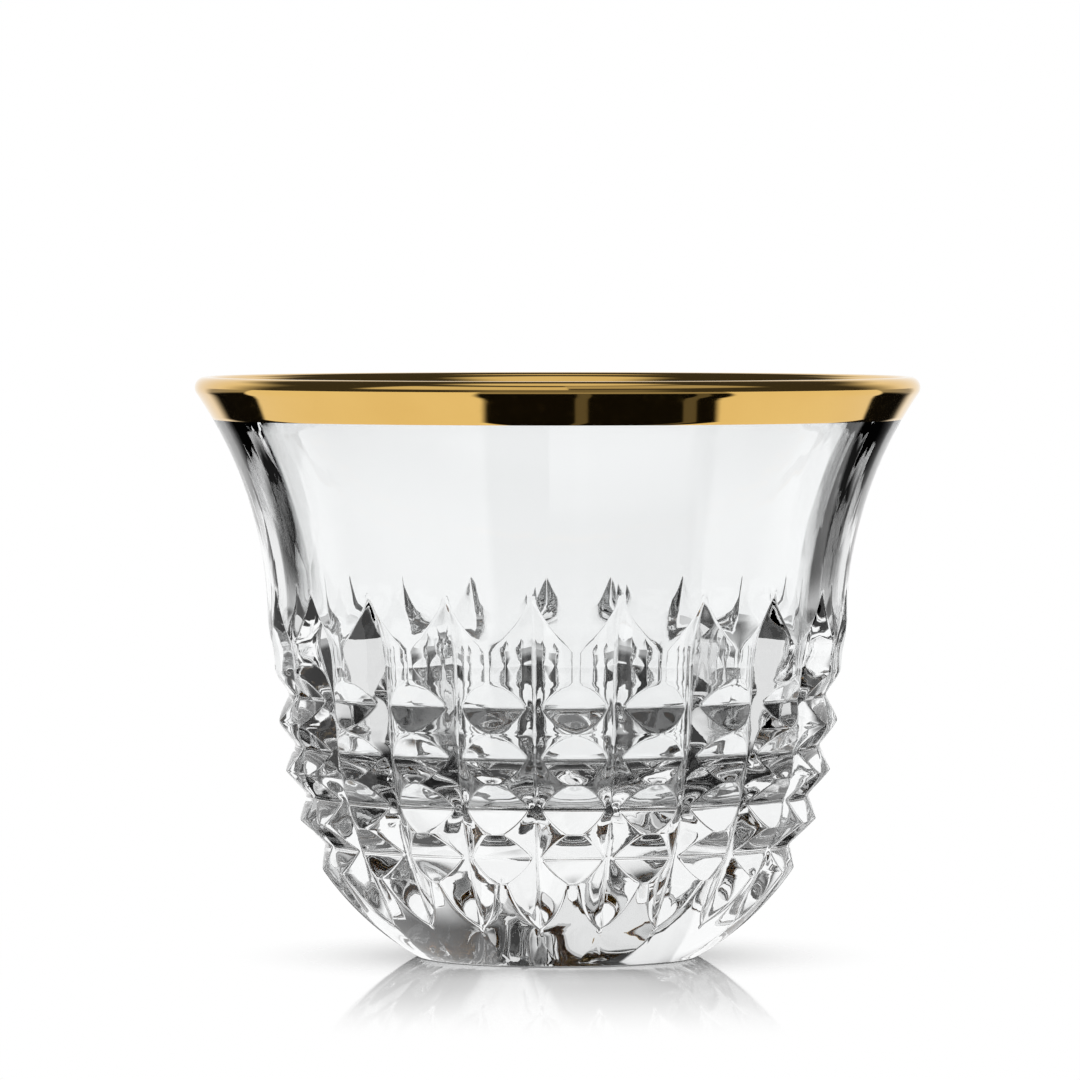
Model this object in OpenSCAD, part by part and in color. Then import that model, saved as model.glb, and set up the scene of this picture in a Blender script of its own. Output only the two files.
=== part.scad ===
// A small footless coffee cup of pressed and cut crystal with a fired gold rim.
// The cup stands on Z = 0 with its axis on Z. A column of diamonds faces -Y.

/* [Rim] */
// Outer diameter across the rim
rim_d = 75; // [70:0.5:80]
// Height from the table to the top of the lip
height = 60; // [56:0.5:66]
// Radius of the rounded lip
lip_r = 1.1; // [0.9:0.05:1.3]

/* [Gold] */
// Height of the gold band on the outside, from the top of the lip
gold_h = 4.4; // [2:0.1:7]
// How far the gold runs down inside the lip
gold_inside_h = 1.6; // [1.3:0.1:2.5]
// Thickness of the gold layer
gold_t = 0.12; // [0.08:0.01:0.2]

/* [Bell] */
// Outer diameter at the waist, where the bell starts to flare
waist_d = 60; // [59:0.1:62]
// Height of the waist
waist_h = 34.8; // [33:0.1:36]
// How far the lower edge of the flutes lies inside the waist
flute_draw = 0.4; // [0.2:0.05:0.6]

/* [Inside] */
// Wall across at the waist, over the flutes
waist_wall = 3.85; // [3.6:0.05:4.4]
// Wall across between the bottoms of the cuts and the inside, where a cut turns
turn_wall = 2.4; // [2.2:0.1:3]
// Thickness of the solid bottom
bottom_t = 16; // [13:0.25:18]
// Radius of the round corner between the inside wall and the bottom
bowl_corner_r = 9; // [7:0.5:11]

/* [Diamond rows] */
// Number of diamonds round the cup
columns = 21; // [18:1:24]
// Height of the top row's points
top_point_h = 24.5; // [24:0.1:25]
// Distance between two rows of points
row_pitch = 5.1; // [4.9:0.05:5.25]
// Diameter across the barrel that the points lie on, at its widest
barrel_d = 58.5; // [58:0.1:59.5]
// Height of the barrel's widest place
barrel_h = 28; // [27:0.1:29]
// Radius of the barrel's side, seen from the front
barrel_r = 39.5; // [36:0.5:46]
// Depth of the level grooves between the rows
groove_depth = 1.6; // [1.3:0.05:1.9]

/* [Upright cuts] */
// Depth of the upright cuts under the top row's points
cut_depth = 2.2; // [2:0.05:2.4]
// Depth of the upright cuts under the waist
cut_waist_depth = 2.7; // [2.6:0.05:2.9]
// Slope of a cut's side at its bottom, in degrees from the cup's skin
cut_slope = 46.5; // [44:0.5:49]
// Radius of a cut's rounded side
cut_side_r = 6.2; // [6:0.1:6.6]
// Height at which a cut turns from the barrel towards the waist
cut_turn_h = 25.4; // [25:0.1:26]
// Radius of a cut's path down the barrel
cut_low_r = 43; // [40:0.5:46]
// Height at which a cut bends from the flutes out into the bell
cut_bend_h = 31; // [30.5:0.1:31.5]
// Radius of the wheel that leads a cut out into the bell
cut_wheel_r = 12; // [10:0.5:14]
// How much deeper each stretch of a cut bites than the one below it
cut_bite = 0.1; // [0.08:0.01:0.15]

/* [Foot] */
// Diameter of the ring that the cup stands on
foot_d = 28.8; // [27:0.1:31]
// Width of that ring's flat land
foot_land = 2.2; // [1.5:0.1:3]
// Depth of the hollow under the bottom
foot_hollow = 0.8; // [0.4:0.05:1.5]

/* [Hidden] */
$fn = 96;
rows = 4;
flute_end_share = 1.06;
overrun = 1;
cut_reach = 4;
cut_low_sweep = 36;
cut_wheel_lead = 15;
cut_wheel_sweep = 75;
cut_overlap = 0.3;

// Lip: its round section, in radius and height
lip_c = [rim_d / 2 - lip_r, height - lip_r];

// Bell outside: an arc upright at the waist that touches the lip's round
waist_r = waist_d / 2;
bell_dx = waist_r - lip_c[0];
bell_dz = lip_c[1] - waist_h;
bell_r = (bell_dx ^ 2 + bell_dz ^ 2 - lip_r ^ 2) / (2 * (lip_r - bell_dx));
bell_c = [waist_r + bell_r, waist_h];

// Rows: points on the barrel and grooves halfway between them
function barrel_at(z) = barrel_d / 2 - barrel_r + sqrt(barrel_r ^ 2 - (barrel_h - z) ^ 2);
function point_h(row) = top_point_h - row * row_pitch;
function point_at(row) = [barrel_at(point_h(row)), point_h(row)];
function groove_between(a, b) = (a + b) / 2 - [groove_depth, 0];
flute_end = [waist_r - flute_draw, top_point_h + flute_end_share * row_pitch];
last_point = point_at(rows - 1);

// Upright cuts: a swing down the barrel, a straight stretch up the flutes and a wheel's arc
column_step = 360 / columns;
cut_turn = [barrel_at(top_point_h) - cut_depth, cut_turn_h];
cut_bend = [waist_r - cut_waist_depth, cut_bend_h];
cut_run = norm(cut_bend - cut_turn);
cut_rise = atan((cut_bend[0] - cut_turn[0]) / (cut_bend[1] - cut_turn[1]));
cut_lean = asin((barrel_h - cut_turn_h) / cut_low_r);
cut_low_c = cut_turn - (cut_low_r - cut_bite) * [cos(cut_lean), -sin(cut_lean)];
cut_wheel_c = cut_bend + (cut_wheel_r - cut_bite) * [cos(cut_rise), -sin(cut_rise)];
cut_half_w = cut_side_r * sin(cut_slope);

// Bell inside: an arc upright at the waist that touches the lip's round
inner_waist_r = waist_r - waist_wall;
inner_dx = inner_waist_r - lip_c[0];
inner_r = (inner_dx ^ 2 + bell_dz ^ 2 - lip_r ^ 2) / (-2 * (inner_dx + lip_r));
inner_c = [inner_waist_r + inner_r, waist_h];
lip_inside = inner_c + inner_r * (lip_c - inner_c) / norm(lip_c - inner_c);

// Bowl inside: a tapered wall from the waist past the bottoms of the cuts
inner_draft = atan((inner_waist_r - cut_turn[0] + turn_wall) / (waist_h - cut_turn_h));
inner_out = [cos(inner_draft), -sin(inner_draft)];
function inner_wall_r(z) = inner_waist_r - (waist_h - z) * tan(inner_draft);

// Bowl: round corner that touches the tapered wall and the bottom
corner_z = bottom_t + bowl_corner_r;
corner_x = inner_wall_r(corner_z) - bowl_corner_r / cos(inner_draft);
corner_top = [corner_x, corner_z] + bowl_corner_r * inner_out;

// Foot: a ball zone from the last row's points down to the standing ring
foot_r = foot_d / 2;
foot_ball_h = (last_point * last_point - foot_r ^ 2) / (2 * last_point[1]);
foot_ball_r = sqrt(foot_r ^ 2 + foot_ball_h ^ 2);
hollow_r = foot_r - foot_land;
hollow_ball_r = (hollow_r ^ 2 + foot_hollow ^ 2) / (2 * foot_hollow);

// Half plane to the right of the axis
module right_of_axis() {
    translate([0, -height]) square([2 * rim_d, 3 * height]);
}

// Outline of the foot, rows and flutes, up to the waist, before the upright cuts
module lower_outline() {
    rows_edge = [
        for (row = [rows - 2:-1:0]) each [
            point_at(row),
            groove_between(point_at(row), row == 0 ? flute_end : point_at(row - 1))
        ]
    ];
    last_groove = groove_between(last_point, point_at(rows - 2));
    past_point = last_point + (last_point - last_groove) / 2;
    intersection() {
        polygon(concat([[0, 0], [past_point[0], 0], past_point, last_groove], rows_edge,
            [flute_end, [waist_r, waist_h], [0, waist_h]]));
        union() {
            translate([0, foot_ball_h]) circle(foot_ball_r);
            translate([0, last_groove[1]]) square([rim_d, height]);
        }
    }
}

// Outline of the bell and lip, with a layer of thickness skin taken off outside
module upper_outline(skin = 0) {
    difference() {
        polygon([[0, waist_h], bell_c, lip_c, lip_inside, [0, lip_inside[1]]]);
        translate(bell_c) circle(bell_r + skin);
    }
    translate(lip_c) circle(lip_r - skin);
}

// Space inside the cup
module inside_outline() {
    intersection() {
        right_of_axis();
        union() {
            difference() {
                polygon([[0, waist_h], inner_c, lip_c, lip_inside,
                    [lip_inside[0], height + overrun], [0, height + overrun]]);
                translate(inner_c) circle(inner_r);
                translate(lip_c) circle(lip_r);
            }
            polygon([[0, corner_top[1]], corner_top, [inner_waist_r, waist_h], [0, waist_h]]);
            polygon([[0, bottom_t], [corner_x, bottom_t], [corner_x, corner_z],
                corner_top, [0, corner_top[1]]]);
            intersection() {
                translate([corner_x, corner_z]) circle(bowl_corner_r);
                translate([corner_x, 0]) square([bowl_corner_r, corner_top[1]]);
            }
        }
    }
}

// Section of the whole cup with its gold
module cup_outline() {
    difference() {
        union() {
            lower_outline();
            upper_outline();
        }
        inside_outline();
        translate([0, foot_hollow - hollow_ball_r]) circle(hollow_ball_r);
    }
}

// Band that the gold covers: outside down to gold_h, inside down to gold_inside_h
module gold_zone() {
    polygon([[lip_c[0], lip_c[1]], [bell_c[0], lip_c[1]], [rim_d, height + overrun],
        [0, height + overrun], [0, height - gold_inside_h], [lip_c[0], height - gold_inside_h]]);
    polygon([[lip_c[0], height - gold_h], [rim_d, height - gold_h], [rim_d, height],
        [lip_c[0], height]]);
}

module gold_outline() {
    difference() {
        intersection() {
            cup_outline();
            gold_zone();
        }
        upper_outline(gold_t);
    }
}

// Section of a cut: a notch with rounded sides, open towards +X, its bottom at 0
module notch_section() {
    difference() {
        translate([-overrun, -cut_half_w]) square([cut_reach + overrun, 2 * cut_half_w]);
        for (side = [-1, 1])
            translate(cut_side_r * [-cos(cut_slope), side * sin(cut_slope)])
                circle(cut_side_r, $fn = 2 * $fn);
    }
}

// One upright cut towards +X: down the barrel, up the flutes and out into the bell
module upright_cut() {
    translate([cut_low_c[0], 0, cut_low_c[1]]) rotate([90, 0, 0])
        rotate_extrude(start = -cut_lean - cut_low_sweep, angle = cut_low_sweep)
            translate([cut_low_r, 0]) notch_section();
    translate([cut_turn[0], 0, cut_turn[1]]) rotate([0, cut_rise, 0])
        translate([0, 0, -cut_run]) linear_extrude(2 * cut_run + cut_overlap) notch_section();
    translate([cut_wheel_c[0], 0, cut_wheel_c[1]]) rotate([90, 0, 0])
        rotate_extrude(start = 180 - cut_rise + cut_wheel_lead - cut_wheel_sweep, angle = cut_wheel_sweep)
            translate([cut_wheel_r, 0]) mirror([1, 0]) notch_section();
}

// The turned cup without its gold, after the first count cuts
module cut_cup(count) {
    difference() {
        if (count > 0)
            cut_cup(count - 1);
        else
            rotate_extrude() difference() {
                cup_outline();
                gold_outline();
            }
        if (count > 0) rotate((count - 1 / 2) * column_step - 90) upright_cut();
    }
}

module crystal_cup() {
    color([0.93, 0.96, 0.97, 0.5]) cut_cup(columns);
}

module gold_rim_band() {
    color([0.83, 0.62, 0.22]) rotate_extrude() gold_outline();
}

crystal_cup();
gold_rim_band();
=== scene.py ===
# A small cut crystal coffee cup with a fired gold rim, on a glossy white table.
import math
import bpy
import numpy as np
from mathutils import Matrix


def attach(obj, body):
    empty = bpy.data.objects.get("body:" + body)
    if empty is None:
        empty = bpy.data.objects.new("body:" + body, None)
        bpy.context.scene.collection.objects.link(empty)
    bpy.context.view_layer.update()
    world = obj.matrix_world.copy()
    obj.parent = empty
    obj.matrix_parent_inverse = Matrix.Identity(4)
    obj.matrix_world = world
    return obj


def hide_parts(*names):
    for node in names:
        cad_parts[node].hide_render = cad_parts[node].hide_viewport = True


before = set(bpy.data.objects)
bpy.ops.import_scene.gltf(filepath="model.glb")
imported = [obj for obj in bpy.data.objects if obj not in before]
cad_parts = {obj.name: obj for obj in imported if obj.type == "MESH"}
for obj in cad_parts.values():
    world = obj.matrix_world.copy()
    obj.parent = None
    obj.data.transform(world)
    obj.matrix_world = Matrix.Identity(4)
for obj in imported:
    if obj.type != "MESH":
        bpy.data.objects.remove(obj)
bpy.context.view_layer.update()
scene = bpy.context.scene
mm = 0.001


# Shader maths: one wrapped socket, so that an expression on values adds its Math nodes
class Socket:
    def __init__(self, shader, link):
        self.shader = shader
        self.link = link

    def join(self, operation, first, second=0.0):   # a Math node on two values
        return self.shader.node("Math", {"operation": operation}, {0: first, 1: second})

    def __add__(self, other):
        return self.join("ADD", self, other)

    def __radd__(self, other):
        return self.join("ADD", other, self)

    def __sub__(self, other):
        return self.join("SUBTRACT", self, other)

    def __rsub__(self, other):
        return self.join("SUBTRACT", other, self)

    def __mul__(self, other):
        return self.join("MULTIPLY", self, other)

    def __rmul__(self, other):
        return self.join("MULTIPLY", other, self)

    def __gt__(self, other):
        return self.join("GREATER_THAN", self, other)

    def __lt__(self, other):
        return self.join("LESS_THAN", self, other)

    def atLeast(self, other):   # the greater of the two
        return self.join("MAXIMUM", self, other)

    def root(self):   # square root
        return self.join("SQRT", self)

    # Bearing of a point seen from above, in degrees: the arctangent of across over ahead
    def bearing(self, ahead):
        return self.join("ARCTAN2", self, ahead) * (180 / math.pi)

    # Height of a direction over the level, in degrees: the arcsine of its upward share
    def elevation(self):
        return self.join("ARCSINE", self) * (180 / math.pi)

    # Another output of the node that this one comes from
    def output(self, name):
        return Socket(self.shader, self.link.node.outputs[name])


# A node tree of a material or of the world, emptied and ready for its output
class Shader:
    def __init__(self, owner, outputType):
        owner.use_nodes = True
        self.tree = owner.node_tree
        self.tree.nodes.clear()
        self.output = self.tree.nodes.new(outputType)

    # Any node: its type, the settings made first, then its sockets' values or links. A socket goes
    # by its name, or by its number where names repeat
    def node(self, kind, settings=None, inputs=None, out=0):
        made = self.tree.nodes.new("ShaderNode" + kind)
        for name, value in (settings or {}).items():
            setattr(made, name, value)
        for name, value in (inputs or {}).items():
            if isinstance(value, Socket):
                self.tree.links.new(value.link, made.inputs[name])
            else:
                made.inputs[name].default_value = value
        return Socket(self, made.outputs[out])

    # 0 below the first value, 1 above the second, and smooth between them
    def between(self, value, start, end):
        return self.node("MapRange", {"interpolation_type": "SMOOTHSTEP"}, {0: value, 1: start, 2: end})

    # 1 from the first bearing to the second, fading over the blend at both ends
    def sector(self, bearing, start, end, blend):
        return self.between(bearing, start - blend, start) * (1 - self.between(bearing, end, end + blend))

    # The mask of rays that come by a mirror or through glass, that of rays straight out of glass,
    # and the number of surfaces that a ray has met
    def rays(self):
        path = self.node("LightPath")
        through = path.output("Is Transmission Ray")
        return path.output("Is Glossy Ray").atLeast(through), through, path.output("Ray Depth")

    def finish(self, surface):
        self.tree.links.new(surface.link, self.output.inputs["Surface"])


# Puts a grid of points, closed round the axis, into a mesh. Rows run from one pole to the other
# or, for a band, from its first row back to it. Normals are the faces' own, added up by area.
def ringMesh(name, x, y, z, poles=True):
    rows, around = x.shape
    points = np.stack([x, y, z], axis=-1).reshape(-1, 3)
    index = np.arange(rows * around).reshape(rows, around)
    upper = index if not poles else index[:-1]
    after = np.roll(index, -1, axis=0) if not poles else index[1:]
    quads = np.stack([upper, np.roll(upper, -1, axis=1), np.roll(after, -1, axis=1), after], axis=-1)
    quads = quads.reshape(-1, 4)
    corners = quads.reshape(-1)
    starts = np.arange(len(quads)) * 4
    triangles = np.zeros((0, 3), int)
    if poles:
        first, last = len(points), len(points) + 1
        poleRows = np.array([[0, 0, z[0].mean()], [0, 0, z[-1].mean()]])
        points = np.vstack([points, poleRows])
        bottom = np.stack([np.full(around, first), np.roll(index[0], -1), index[0]], axis=-1)
        top = np.stack([np.full(around, last), index[-1], np.roll(index[-1], -1)], axis=-1)
        triangles = np.vstack([bottom, top])
        starts = np.concatenate([starts, len(corners) + 3 * np.arange(len(triangles))])
        corners = np.concatenate([corners, triangles.reshape(-1)])
    mesh = bpy.data.meshes.new(name)
    mesh.vertices.add(len(points))
    mesh.vertices.foreach_set("co", points.astype(np.float32).reshape(-1))
    mesh.loops.add(len(corners))
    mesh.loops.foreach_set("vertex_index", corners.astype(np.int32))
    mesh.polygons.add(len(starts))
    mesh.polygons.foreach_set("loop_start", starts.astype(np.int32))
    mesh.polygons.foreach_set("use_smooth", np.ones(len(starts), bool))
    mesh.update(calc_edges=True)
    normals = np.zeros((len(points), 3))
    a, b, c, d = (points[quads[:, k]] for k in range(4))
    areas = np.cross(c - a, d - b)
    for k in range(4):
        np.add.at(normals, quads[:, k], areas)
    if poles:
        a, b, c = (points[triangles[:, k]] for k in range(3))
        areas = np.cross(b - a, c - a)
        for k in range(3):
            np.add.at(normals, triangles[:, k], areas)
    normals /= np.linalg.norm(normals, axis=1)[:, None]
    mesh.normals_split_custom_set_from_vertices(normals.tolist())
    piece = bpy.data.objects.new(name, mesh)
    scene.collection.objects.link(piece)
    return piece


# Points of an arc from one angle to another, in degrees, as rows of radius and height: the centre
# plus the radius times the angle's cosine and sine
def arc(centre, radius, start, end, count):
    angle = np.radians(np.linspace(start, end, count))
    return np.stack([centre[0] + radius * np.cos(angle), centre[1] + radius * np.sin(angle)], axis=-1)


# A broken line with eased corners: each corner becomes a quadratic curve over its own ease length,
# and each stretch between two corners is an even mix of its two ends
def easedLine(corners, eases, easeRows, stretchRows):
    corners = np.array(corners, float)
    middle = corners[1:-1]
    before = corners[:-2] - middle
    after = corners[2:] - middle
    reach = np.array(eases)[:, None]
    start = middle + reach * before / np.linalg.norm(before, axis=1)[:, None]
    end = middle + reach * after / np.linalg.norm(after, axis=1)[:, None]
    w = np.linspace(0, 1, easeRows)[None, :, None]
    curve = start[:, None] * (1 - w) ** 2 + 2 * middle[:, None] * w * (1 - w) + end[:, None] * w ** 2
    share = np.linspace(0, 1, stretchRows + 1)[1:-1][None, :, None]
    ahead = np.vstack([start[1:], corners[-1:]])
    run = end[:, None] * (1 - share) + ahead[:, None] * share
    first = corners[0] * (1 - share[0]) + start[0] * share[0]
    body = np.concatenate([curve, run], axis=1).reshape(-1, 2)
    return np.vstack([corners[:1], first, body, corners[-1:]])


# Crystal cup: measures in millimetres, angles in degrees. The upright cuts' sides have a slope and
# a radius at each of three heights, and an ease rounds what fire polishing rounds
cup = dict(
    rimDiameter=75, height=60, lipRadius=1.1,
    goldHeight=4.4, goldInside=1.6, goldThickness=0.12, goldBed=0.06,
    waistDiameter=60, waistHeight=34.8, fluteEndDiameter=59.2, fluteEndShare=1.06,
    waistWall=3.85, turnWall=2.4, bottomThickness=16, bowlCorner=9,
    columns=21, rows=4, topPoint=24.5, rowPitch=5.1,
    barrelDiameter=58.5, barrelHeight=28, barrelRadius=39.5, grooveDepth=1.6,
    cutDepth=2.2, cutSlopes=(22, 37, 54), cutSides=(20, 9, 4.5), cutSectionHeights=(4.4, 9, 21),
    cutWaistDepth=2.7, cutTurn=25.4, cutLow=43, cutBend=31, cutWheel=12,
    cutTail=10, cutTailSlope=0.477, cutFrom=0.6, cutTo=44,
    footDiameter=28.8, footLand=2.2, footHollow=0.8,
    grooveEase=0.35, pointEase=0.15, edgeEase=0.25, valleyEase=0.2, hollowEase=0.1, landEase=0.15,
)

# Mesh of the cup: rows of points in each stretch of the section, and the lines across half a column
# as shares of the ways from the valley to the edge, over the edge, and on to the middle
cupMesh = dict(
    hollowRows=9, hollowFrom=0.04, hollowTo=0.985, landEaseRows=4, landRows=2, footRows=20, footFrom=0.4,
    easeRows=5, facetRows=7, archRows=14, archTop=41, bellRows=12, bedRows=6, bedFrom=0.05,
    lipRows=14, lipTo=0.5, flareRows=14, wallRows=8, cornerRows=16, bottomRows=8, bottomTo=0.05,
    toEdge=(0, 0.07, 0.25, 0.5, 0.76), overEdge=(-1, -0.3, 0.3, 1), toMiddle=(0.4, 1),
    edgeMargin=0.0065, marginShare=1.6, plainEdge=0.6, cutLowest=1,
    topFadeFrom=40, topFadeOver=5, footFadeFrom=3, footFadeOver=3, halvings=24, rounds=8,
)

lip = np.array([cup["rimDiameter"] / 2 - cup["lipRadius"], cup["height"] - cup["lipRadius"]])
waist = cup["waistDiameter"] / 2
bellX = waist - lip[0]
bellZ = lip[1] - cup["waistHeight"]
bellRadius = (bellX ** 2 + bellZ ** 2 - cup["lipRadius"] ** 2) / (2 * (cup["lipRadius"] - bellX))
bellCentre = np.array([waist + bellRadius, cup["waistHeight"]])


# Radius of the barrel that the diamonds' points lie on: an arc about a centre level with its
# widest place
def barrelAt(z):
    side = cup["barrelRadius"]
    return cup["barrelDiameter"] / 2 - side + math.sqrt(side ** 2 - (cup["barrelHeight"] - z) ** 2)


# Direction of a vector in the section, in degrees: the arctangent of its height over its radius
def angleOf(vector):
    return math.degrees(math.atan2(vector[1], vector[0]))


# Upright cuts: the low arc's upper end, the bend below the bell and the centres of both arcs
lowTurn = np.array([barrelAt(cup["topPoint"]) - cup["cutDepth"], cup["cutTurn"]])
bendPoint = np.array([waist - cup["cutWaistDepth"], cup["cutBend"]])
lean = math.asin((cup["barrelHeight"] - cup["cutTurn"]) / cup["cutLow"])
lowCentre = lowTurn - cup["cutLow"] * np.array([math.cos(lean), -math.sin(lean)])
riseSlope = (bendPoint[0] - lowTurn[0]) / (bendPoint[1] - lowTurn[1])
rise = math.atan(riseSlope)
wheelCentre = bendPoint + cup["cutWheel"] * np.array([math.cos(rise), -math.sin(rise)])

# Inside: an arc upright at the waist that meets the lip, and a tapered wall below it
innerWaist = waist - cup["waistWall"]
innerX = innerWaist - lip[0]
flareRadius = (innerX ** 2 + bellZ ** 2 - cup["lipRadius"] ** 2) / (-2 * (innerX + cup["lipRadius"]))
flareCentre = np.array([innerWaist + flareRadius, cup["waistHeight"]])
taper = math.atan((innerWaist - lowTurn[0] + cup["turnWall"]) / (cup["waistHeight"] - cup["cutTurn"]))
innerOut = np.array([math.cos(taper), -math.sin(taper)])


# Radius of the tapered wall: the waist's, less the way down from it times the taper
def innerWall(z):
    return innerWaist - (cup["waistHeight"] - z) * math.tan(taper)


cornerZ = cup["bottomThickness"] + cup["bowlCorner"]
cornerCentre = np.array([innerWall(cornerZ) - cup["bowlCorner"] / math.cos(taper), cornerZ])

# Angles of the section's arcs: the gold's lower edge on the bell, where the bell touches the lip,
# and where the lip's round starts outside and ends inside
goldEdge = cup["height"] - cup["goldHeight"]
goldEdgeAngle = 180 - math.degrees(math.asin((goldEdge - cup["waistHeight"]) / bellRadius))
bellEnd = angleOf(lip - bellCentre) % 360
lipStart = angleOf(bellCentre - lip)
lipEnd = angleOf(lip - flareCentre) % 360


# Flank of an upright cut: how far it stands out at a distance t from the valley. The side is a circle
# that leaves the valley at the cut's slope, flatter at the foot than at the top
def flank(t, z):
    eased = np.sqrt(t ** 2 + cup["valleyEase"] ** 2) - cup["valleyEase"]
    slope = np.radians(np.interp(z, cup["cutSectionHeights"], cup["cutSlopes"]))
    side = np.interp(z, cup["cutSectionHeights"], cup["cutSides"])
    return np.sqrt(np.maximum(side ** 2 - (eased - side * np.sin(slope)) ** 2, 0)) - side * np.cos(slope)


# Radius of the upright cuts' surface at an angle from the valley and a height: a straight tail at
# the foot, the low arc, a straight rise and the wheel's arc, all pushed out by the flank. The flank
# is taken at the last round's radius, until both agree
def cutRadius(theta, z):
    radius = np.full(np.broadcast(theta, z).shape, lowTurn[0])
    tailStart = lowCentre[0] + math.sqrt(cup["cutLow"] ** 2 - (cup["cutTail"] - lowCentre[1]) ** 2)
    tailStretch = math.hypot(1, cup["cutTailSlope"])
    for _ in range(cupMesh["rounds"]):
        out = flank(radius * np.sin(theta), z)
        low = lowCentre[0] + np.sqrt((cup["cutLow"] + out) ** 2 - (z - lowCentre[1]) ** 2)
        tail = tailStart + (z - cup["cutTail"]) * cup["cutTailSlope"] + out * tailStretch
        rising = lowTurn[0] + (z - cup["cutTurn"]) * riseSlope + out / math.cos(rise)
        depth = (cup["cutWheel"] - out) ** 2 - (z - wheelCentre[1]) ** 2
        wheel = wheelCentre[0] - np.sqrt(np.maximum(depth, 0))
        below = [z < cup["cutTail"], z < cup["cutTurn"], z < cup["cutBend"]]
        path = np.select(below, [tail, low, rising], wheel)
        radius = path / np.cos(theta)
    return radius


# The smaller of two radii, rounded off where they come within the ease of each other: less a
# quarter of the ease times the square of how near they are
def softMin(a, b, ease):
    near = np.clip(1 - np.abs(a - b) / ease, 0, 1)
    return np.minimum(a, b) - ease * near ** 2 / 4


# Outside section from the hollow under the bottom up to the lip: a shallow ball, the standing ring, a
# ball zone, eased points and grooves, the flutes and the bell's arc, which dips under the gold
def outsideRows():
    ring = cup["footDiameter"] / 2
    hollowEdge = ring - cup["footLand"]
    hollowBall = (hollowEdge ** 2 + cup["footHollow"] ** 2) / (2 * cup["footHollow"])
    hollowSpan = math.degrees(math.asin(hollowEdge / hollowBall))
    hollowCentre = (0, cup["footHollow"] - hollowBall)
    hollowStart = 90 - cupMesh["hollowFrom"] * hollowSpan
    hollowEnd = 90 - cupMesh["hollowTo"] * hollowSpan
    hollow = arc(hollowCentre, hollowBall, hollowStart, hollowEnd, cupMesh["hollowRows"])
    heights = [cup["topPoint"] - row * cup["rowPitch"] for row in range(cup["rows"])][::-1]
    points = [np.array([barrelAt(z), z]) for z in heights]
    footBallHeight = (points[0] @ points[0] - ring ** 2) / (2 * points[0][1])
    footBall = math.hypot(ring, footBallHeight)
    ballCentre = np.array([0, footBallHeight])
    footStart = angleOf(np.array([ring, 0]) - ballCentre) + cupMesh["footFrom"]
    footEnd = angleOf(points[0] - ballCentre)
    foot = arc(ballCentre, footBall, footStart, footEnd, cupMesh["footRows"])
    ringCorners = [hollow[-1], [hollowEdge, 0], [ring, 0], foot[0]]
    ringEases = [cup["hollowEase"], cup["landEase"]]
    ringEdge = easedLine(ringCorners, ringEases, cupMesh["landEaseRows"], cupMesh["landRows"])[1:-1]
    fluteEndHeight = cup["topPoint"] + cup["fluteEndShare"] * cup["rowPitch"]
    fluteEnd = np.array([cup["fluteEndDiameter"] / 2, fluteEndHeight])
    grooves = [(a + b) / 2 - [cup["grooveDepth"], 0] for a, b in zip(points, points[1:] + [fluteEnd])]
    corners = [foot[-2]]
    eases = []
    for point, groove in zip(points, grooves):
        corners += [point, groove]
        eases += [cup["pointEase"], cup["grooveEase"]]
    corners += [fluteEnd, [waist, cup["waistHeight"]]]
    eases += [cup["pointEase"]]
    facets = easedLine(corners, eases, cupMesh["easeRows"], cupMesh["facetRows"])[1:-1]
    archAngle = 180 - math.degrees(math.asin((cupMesh["archTop"] - cup["waistHeight"]) / bellRadius))
    arches = arc(bellCentre, bellRadius, 180, archAngle, cupMesh["archRows"])
    bell = arc(bellCentre, bellRadius, archAngle, goldEdgeAngle, cupMesh["bellRows"])[1:]
    bed = bellRadius + cup["goldBed"]
    under = arc(bellCentre, bed, goldEdgeAngle - cupMesh["bedFrom"], bellEnd, cupMesh["bedRows"])
    rows = np.vstack([hollow, ringEdge, foot[:-1], facets, arches, bell, under])
    isCut = (rows[:, 1] > cup["cutFrom"]) & (rows[:, 1] < cup["cutTo"])
    isCut[:len(hollow) + len(ringEdge)] = False
    return rows, isCut


# Lip and inside section down to the middle of the bowl: the lip's round under the gold, the flare's
# arc, the tapered wall, the round corner and the flat bottom
def insideRows():
    bed = cup["lipRadius"] - cup["goldBed"]
    top = arc(lip, bed, lipStart, lipEnd - cupMesh["lipTo"], cupMesh["lipRows"])
    flare = arc(flareCentre, flareRadius, lipEnd, 180, cupMesh["flareRows"])
    cornerTop = cornerCentre + cup["bowlCorner"] * innerOut
    wall = flare[-1] + (cornerTop - flare[-1]) * np.linspace(0, 1, cupMesh["wallRows"])[1:-1, None]
    bend = arc(cornerCentre, cup["bowlCorner"], -math.degrees(taper), -90, cupMesh["cornerRows"])
    across = cornerCentre[0] * np.linspace(1, cupMesh["bottomTo"], cupMesh["bottomRows"])[1:]
    bottom = np.stack([across, np.full(len(across), cup["bottomThickness"])], axis=-1)
    return np.vstack([top, flare, wall, bend, bottom])


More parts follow.
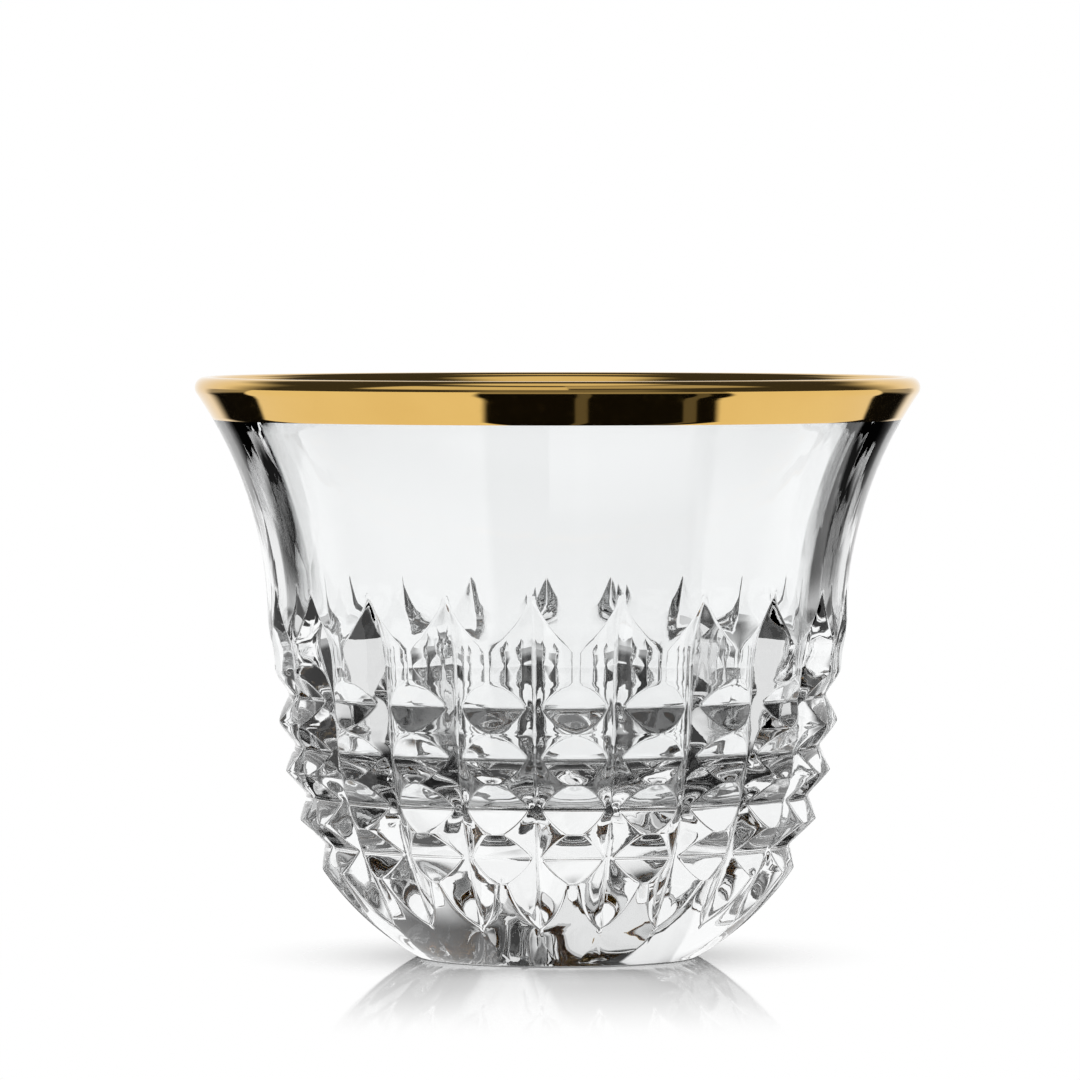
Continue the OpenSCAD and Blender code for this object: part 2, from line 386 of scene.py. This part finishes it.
# Angle from the valley at which a cut meets the turned outside, found by halving. Past the cuts'
# ends it fades to an even place, so that the lines run on smoothly
def cutEdge(r, z, zCut, isCut, half):
    low, high = np.zeros_like(z), np.full_like(z, half)
    for _ in range(cupMesh["halvings"]):
        middle = (low + high) / 2
        inCut = cutRadius(middle, zCut) < r
        low, high = np.where(inCut, middle, low), np.where(inCut, high, middle)
    edge = np.where(isCut, (low + high) / 2, 0)
    even = cupMesh["plainEdge"] * half
    topFade = np.clip((z - cupMesh["topFadeFrom"]) / cupMesh["topFadeOver"], 0, 1) * even
    footFade = np.clip((cupMesh["footFadeFrom"] - z) / cupMesh["footFadeOver"], 0, 1) * even
    fade = np.where(isCut, np.maximum(topFade, footFade), even)
    room = cupMesh["marginShare"] * cupMesh["edgeMargin"]
    return np.clip(np.maximum(edge, fade), room, half - room)


# The cup's grid: each row's radius is the lesser of the turned outside and the cuts, with mesh lines
# along the edges between them, so that every facet keeps its outline. Half a column is mirrored
# about its middle and repeated round the axis
def crystalGrid():
    outside, isCut = outsideRows()
    inside = insideRows()
    rows = np.vstack([outside, inside])
    isCut = np.concatenate([isCut, np.zeros(len(inside), bool)])[:, None]
    r, z = rows[:, :1], rows[:, 1:]
    zCut = np.clip(z, cupMesh["cutLowest"], cup["cutTo"])
    half = math.pi / cup["columns"]
    edge = cutEdge(r, z, zCut, isCut, half)
    margin = cupMesh["edgeMargin"]
    toEdge = np.array([cupMesh["toEdge"]]) * (edge - margin)
    overEdge = edge + margin * np.array([cupMesh["overEdge"]])
    toMiddle = edge + margin + (half - edge - margin) * np.array([cupMesh["toMiddle"]])
    theta = np.hstack([toEdge, overEdge, toMiddle])
    cut = cutRadius(theta, zCut)
    turned = r + 0 * cut
    radius = np.where(isCut, softMin(turned, cut, cup["edgeEase"]), turned)
    offset = np.hstack([theta - half, (half - theta)[:, -2:0:-1]])
    radius = np.hstack([radius, radius[:, -2:0:-1]])
    middles = -math.pi / 2 + 2 * half * np.arange(cup["columns"])
    angle = (middles[None, :, None] + offset[:, None, :]).reshape(len(rows), -1)
    radius = np.tile(radius, (1, cup["columns"]))
    return radius * np.cos(angle) * mm, radius * np.sin(angle) * mm, np.broadcast_to(z * mm, radius.shape)


crystal = ringMesh("crystal_cup_glass", *crystalGrid())
print("crystal cup:", len(crystal.data.polygons), "faces")


# Gold band: rows in each stretch of its section, its two tones and its worn places
gold = dict(
    around=360, faceRows=10, lipRows=20, insideRows=4,
    color=(0.82, 0.54, 0.17, 1), thin=(0.72, 0.44, 0.12, 1), patchScale=90, patchDetail=3.0,
    smooth=0.05, dull=0.13, wearScale=900, wearDetail=4.0, wearFrom=0.5, wearTo=0.75,
)


# Gold section: the bell's arc, the lip's round and the flare's arc, then the same three back through
# the glass, the gold's thickness in from the face
def goldRows():
    depth = cup["goldThickness"]
    insideRise = cup["height"] - cup["goldInside"] - flareCentre[1]
    insideEnd = 180 - math.degrees(math.asin(insideRise / flareRadius))
    face = arc(bellCentre, bellRadius, goldEdgeAngle, bellEnd, gold["faceRows"])
    lipFace = arc(lip, cup["lipRadius"], lipStart, lipEnd, gold["lipRows"])[1:]
    inner = arc(flareCentre, flareRadius, lipEnd, insideEnd, gold["insideRows"])[1:]
    innerBack = arc(flareCentre, flareRadius + depth, insideEnd, lipEnd, gold["insideRows"])
    lipBack = arc(lip, cup["lipRadius"] - depth, lipEnd, lipStart, gold["lipRows"])[1:]
    faceBack = arc(bellCentre, bellRadius + depth, bellEnd, goldEdgeAngle, gold["faceRows"])[1:]
    return np.vstack([face, lipFace, inner, innerBack, lipBack, faceBack])


# The section turned round the axis: radius times cosine, radius times sine, and height
def goldGrid():
    rows = goldRows()
    angle = np.linspace(0, 2 * math.pi, gold["around"], endpoint=False)[None, :]
    return rows[:, :1] * np.cos(angle) * mm, rows[:, :1] * np.sin(angle) * mm, rows[:, 1:] * mm + 0 * angle


goldBand = ringMesh("gold_rim_band_fired", *goldGrid(), poles=False)
print("gold band:", len(goldBand.data.polygons), "faces")


# Crystal: clear glass with a faint cool tint, a slow fire-polished ripple and a fine one over it
crystalLook = dict(
    ior=1.54, tint=(0.985, 0.993, 0.995, 1), roughness=0.0,
    rippleScale=120, fineScale=500, fineShare=0.05, ripple=0.2, rippleHeight=0.00005,
)
crystalMaterial = bpy.data.materials.new("clear_crystal")
shader = Shader(crystalMaterial, "ShaderNodeOutputMaterial")
place = shader.node("TexCoord", out="Object")
slow = shader.node("TexNoise", None, {"Vector": place, "Scale": crystalLook["rippleScale"], "Detail": 0.0})
fine = shader.node("TexNoise", None, {"Vector": place, "Scale": crystalLook["fineScale"], "Detail": 0.0})
ripple = shader.node("Bump", None, {
    "Height": slow + fine * crystalLook["fineShare"], "Strength": crystalLook["ripple"],
    "Distance": crystalLook["rippleHeight"]})
shader.finish(shader.node("BsdfPrincipled", None, {
    "Base Color": crystalLook["tint"], "Roughness": crystalLook["roughness"], "IOR": crystalLook["ior"],
    "Transmission Weight": 1.0, "Normal": ripple}))
crystal.data.materials.append(crystalMaterial)

# Fired gold: a polished metal in patches of thicker and thinner gold, a little duller where worn
goldMaterial = bpy.data.materials.new("fired_gold")
shader = Shader(goldMaterial, "ShaderNodeOutputMaterial")
place = shader.node("TexCoord", out="Object")
patch = shader.node("TexNoise", None, {
    "Vector": place, "Scale": gold["patchScale"], "Detail": gold["patchDetail"]})
wear = shader.node("TexNoise", None, {
    "Vector": place, "Scale": gold["wearScale"], "Detail": gold["wearDetail"]})
wear = shader.between(wear, gold["wearFrom"], gold["wearTo"])
tone = shader.node("Mix", {"data_type": "RGBA"}, {0: patch, 6: gold["thin"], 7: gold["color"]}, out=2)
shader.finish(shader.node("BsdfPrincipled", None, {
    "Base Color": tone, "Metallic": 1.0,
    "Roughness": wear * patch * (gold["dull"] - gold["smooth"]) + gold["smooth"]}))
goldBand.data.materials.append(goldMaterial)
# Reflected rays pass the gold, so that light caught inside the glass leaves at the lip untinted
goldBand.visible_glossy = False

for piece, node, slot in ((crystal, "crystal_cup", "crystal"), (goldBand, "gold_rim_band", "fired_gold")):
    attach(piece, "root")
    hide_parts(node)
print("materials and frame set")


# Table: white to the camera, with the cup's shadow and a gloss that ends a little way off. Mirror
# and glass rays see painted light and painted shade on it, a glowing pattern in place of a real
# reflection: levels from 0 to 1, distances from the axis in metres, and bearings in degrees from straight
# behind the cup. Later rays have met two surfaces
table = dict(
    size=30.0, color=(0.97, 0.97, 0.97, 1), roughness=0.03, ior=1.12, glossFrom=0.025, glossTo=0.095,
    shadowFrom=0.012, shadowTo=0.035,
    dim=0.004, farFrom=0.2, farTo=0.35, farLevel=0.4, shadePoolRadius=0.02, shadePoolLevel=0.03,
    backHalf=26, backBlend=12, backFrom=0.02, backTo=0.06,
    frontHalf=128, frontFrom=0.03, frontTo=0.06, frontLevel=0.35,
    leftFrom=-151, leftTo=-65, rightFrom=64, rightTo=129, sideBlend=3,
    stripFrom=138.5, stripTo=142, secondFrom=174.5, secondTo=177.5, stripBlend=1, stripLevel=0.12,
    laterSides=0.8, laterFrom=0.05, laterTo=0.09, laterLevel=0.01,
)
firstRay = 1.5   # a ray's depth is under this when it has met one surface
secondRay = 2.5   # and under this when it has met two, as straight through the foot


# A flat sheet from its corners
def planeMesh(name, corners):
    mesh = bpy.data.meshes.new(name)
    mesh.from_pydata(corners, [], [(0, 1, 2, 3)])
    piece = bpy.data.objects.new(name, mesh)
    scene.collection.objects.link(piece)
    return piece


reach = table["size"]
tableCorners = [(-reach, -reach, 0), (reach, -reach, 0), (reach, reach, 0), (-reach, reach, 0)]
floor = planeMesh("table_top", tableCorners)
floorMaterial = bpy.data.materials.new("white_table_painted_studio")
shader = Shader(floorMaterial, "ShaderNodeOutputMaterial")
across = shader.node("SeparateXYZ", None, {0: shader.node("TexCoord", out="Object")})
ahead = across.output("Y")
distance = (across * across + ahead * ahead).root()
bearing = across.bearing(ahead)
indirect, through, depth = shader.rays()
later = depth > firstRay

# Painted light fields: the back, which is white, the far table, the two sides and two thin strips
back = shader.sector(bearing, -table["backHalf"], table["backHalf"], table["backBlend"])
far = shader.between(distance, table["farFrom"], table["farTo"])
far = far * (back * (1 - table["farLevel"]) + table["farLevel"])
behind = back * shader.between(distance, table["backFrom"], table["backTo"])
sides = shader.sector(bearing, table["leftFrom"], table["leftTo"], table["sideBlend"])
sides = sides.atLeast(shader.sector(bearing, table["rightFrom"], table["rightTo"], table["sideBlend"]))
for start, end in ((table["stripFrom"], table["stripTo"]), (table["secondFrom"], table["secondTo"])):
    sides = sides.atLeast(shader.sector(bearing, start, end, table["stripBlend"]) * table["stripLevel"])

# Painted fields that only later rays see, or see otherwise: the sides from farther out, and the front
sides = sides * (1 - later * (1 - table["laterSides"]))
sides = sides * (1 - later * (1 - shader.between(distance, table["laterFrom"], table["laterTo"])))
# Painted shade under the cup: a near-black level within this radius of the axis, standing in for the cup's
# shadow
under = (1 - shader.between(distance, table["shadePoolRadius"] / 2, table["shadePoolRadius"])) * table["shadePoolLevel"]
front = 1 - shader.sector(bearing, -table["frontHalf"], table["frontHalf"], table["backBlend"])
front = front * shader.between(distance, table["frontFrom"], table["frontTo"]) * table["frontLevel"] * later
seen = far.atLeast(sides).atLeast(behind).atLeast(under).atLeast(front).atLeast(later * table["laterLevel"])
seen = seen * (1 - table["dim"]) + table["dim"]
# Painted light: rays straight out of the glass, having met at most two surfaces, see the table full white
straight = through * (depth < secondRay)
seen = seen.atLeast(straight)

# What the camera sees: white, the shadow round the foot, and the cup's reflection
plain = shader.node("BsdfDiffuse", None, {"Color": table["color"]})
white = shader.node("Emission", None, {"Color": (1, 1, 1, 1), "Strength": 1.0})
clear = shader.between(distance, table["shadowFrom"], table["shadowTo"])
plain = shader.node("MixShader", None, {0: clear, 1: plain, 2: white})
mirror = shader.node("BsdfGlossy", None, {"Color": (1, 1, 1, 1), "Roughness": table["roughness"]})
gloss = shader.node("Fresnel", None, {"IOR": table["ior"]})
gloss = gloss * (1 - shader.between(distance, table["glossFrom"], table["glossTo"]))
plain = shader.node("MixShader", None, {0: gloss, 1: plain, 2: mirror})
# Painted studio light: for mirror and glass rays the table glows with these fields of painted light and
# shade instead of reflecting
lit = shader.node("Emission", None, {"Color": seen, "Strength": 1.0})
shader.finish(shader.node("MixShader", None, {0: indirect, 1: plain, 2: lit}))
floor.data.materials.append(floorMaterial)

# Studio: white all round for the camera and for the light on the table. Mirror and glass rays see
# a white wall behind the cup, a soft box at each side, a light ceiling and a dim front: levels from
# 0 to 1, bearings and heights in degrees. All above the wall's foot is dimmed for a ray's first hit
studio = dict(
    fill=1.0, ambient=0.05, wallTop=25, wallFade=40, wallHalf=40, wallBlend=35,
    leftFrom=-180, leftTo=-112, leftLow=30, leftHigh=52, leftLevel=0.8,
    rightFrom=108, rightTo=180, rightLow=44, rightHigh=62, rightLevel=0.5, boxBlend=10,
    frontHalf=140, frontBlend=20, frontTop=22, frontFade=32, frontLevel=0.16,
    topLow=68, topHigh=78, topLevel=0.85, mirrorLow=8, mirrorHigh=16, mirrorDim=0.85,
)
scene.world = bpy.data.worlds.new("studio")
shader = Shader(scene.world, "ShaderNodeOutputWorld")
across = shader.node("SeparateXYZ", None, {0: shader.node("TexCoord", out="Generated")})
bearing = across.bearing(across.output("Y"))
height = across.output("Z").elevation()
indirect, through, depth = shader.rays()
wall = 1 - shader.between(height, studio["wallTop"], studio["wallFade"])
wall = wall * shader.sector(bearing, -studio["wallHalf"], studio["wallHalf"], studio["wallBlend"])
front = 1 - shader.sector(bearing, -studio["frontHalf"], studio["frontHalf"], studio["frontBlend"])
front = front * (1 - shader.between(height, studio["frontTop"], studio["frontFade"]))
seen = wall.atLeast(front * studio["frontLevel"])
seen = seen.atLeast(shader.between(height, studio["topLow"], studio["topHigh"]) * studio["topLevel"])
for side in ("left", "right"):
    box = shader.sector(bearing, studio[side + "From"], studio[side + "To"], studio["boxBlend"])
    box = box * shader.sector(height, studio[side + "Low"], studio[side + "High"], studio["boxBlend"])
    seen = seen.atLeast(box * studio[side + "Level"])
seen = seen * (1 - studio["ambient"]) + studio["ambient"]
upper = shader.between(height, studio["mirrorLow"], studio["mirrorHigh"])
seen = seen * (1 - (depth < firstRay) * upper * studio["mirrorDim"])
level = shader.node("Mix", {"data_type": "FLOAT"}, {0: indirect, 2: studio["fill"], 3: seen})
shader.finish(shader.node("Background", None, {"Color": (1, 1, 1, 1), "Strength": level}))
print("table and studio set")

# Camera: its distance from the axis and height in metres, the turn round the cup and the pitch down in
# degrees, how far aside the cup stands in the frame, in its pixels, and the pixels to a millimetre
view = dict(
    distance=0.853, height=0.0712, turn=-3.66, pitch=1.888, aside=17.5, scale=9.667, frame=1080, film=36,
)
turn = math.radians(view["turn"])
cameraData = bpy.data.cameras.new("view")
cameraData.sensor_width = view["film"]
cameraData.lens = view["scale"] * view["distance"] / mm / view["frame"] * view["film"]
camera = bpy.data.objects.new("view", cameraData)
scene.collection.objects.link(camera)
camera.location = (view["distance"] * math.sin(turn), -view["distance"] * math.cos(turn), view["height"])
yaw = math.atan(view["aside"] / (view["scale"] * view["distance"] / mm))
camera.rotation_euler = (math.radians(90 - view["pitch"]), 0, turn + yaw)
scene.camera = camera
scene.view_settings.view_transform = "Standard"
print("camera set")

# Light crosses many faces of the cuts before it leaves the glass
light = dict(crossings=24, mirrorings=10)
scene.cycles.max_bounces = light["crossings"] + light["mirrorings"]
scene.cycles.transmission_bounces = light["crossings"]
scene.cycles.glossy_bounces = light["mirrorings"]
